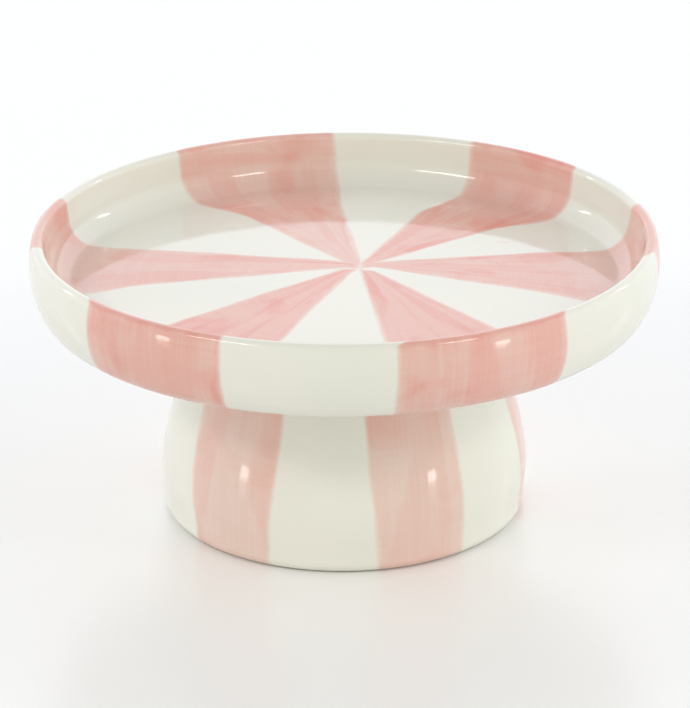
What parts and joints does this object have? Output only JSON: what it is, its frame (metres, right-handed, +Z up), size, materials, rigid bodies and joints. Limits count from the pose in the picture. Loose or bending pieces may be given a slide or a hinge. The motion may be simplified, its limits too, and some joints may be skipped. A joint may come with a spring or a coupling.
{
  "type": "cake stand",
  "caption": "Round glazed ceramic cake stand: a shallow dish with an upright rim, painted in broad rays, on a hollow pedestal that swells towards its foot.",
  "frame": {"origin": "on the stand's axis, in the plane that the foot ring rests on", "axes": "+Z up along the stand's axis, out of the dish; -Y is the front; +X is to the right seen from the front"},
  "size_m": [0.28, 0.28, 0.13],
  "materials": {
    "white_glaze": "clear gloss glaze over a white ceramic body, warm to faintly blue-grey, with a bare unglazed foot ring",
    "pink_stripe": "pink underglaze brushed on by hand in streaky, uneven strokes, under the same clear gloss glaze",
    "joint_slip": "white slip smoothed into the joint and glazed with the rest"
  },
  "bodies": {
    "root": {"dish": "white_glaze", "pedestal": "white_glaze", "slip_joint": "joint_slip", "outer_slip_bead": "joint_slip", "inner_slip_bead": "joint_slip", "dish_stripe_1": "pink_stripe", "dish_stripe_2": "pink_stripe", "dish_stripe_3": "pink_stripe", "dish_stripe_4": "pink_stripe", "dish_stripe_5": "pink_stripe", "dish_stripe_6": "pink_stripe", "pedestal_stripe_1": "pink_stripe", "pedestal_stripe_2": "pink_stripe", "pedestal_stripe_3": "pink_stripe", "pedestal_stripe_4": "pink_stripe", "pedestal_stripe_5": "pink_stripe", "pedestal_stripe_6": "pink_stripe"}
  },
  "joints": []
}
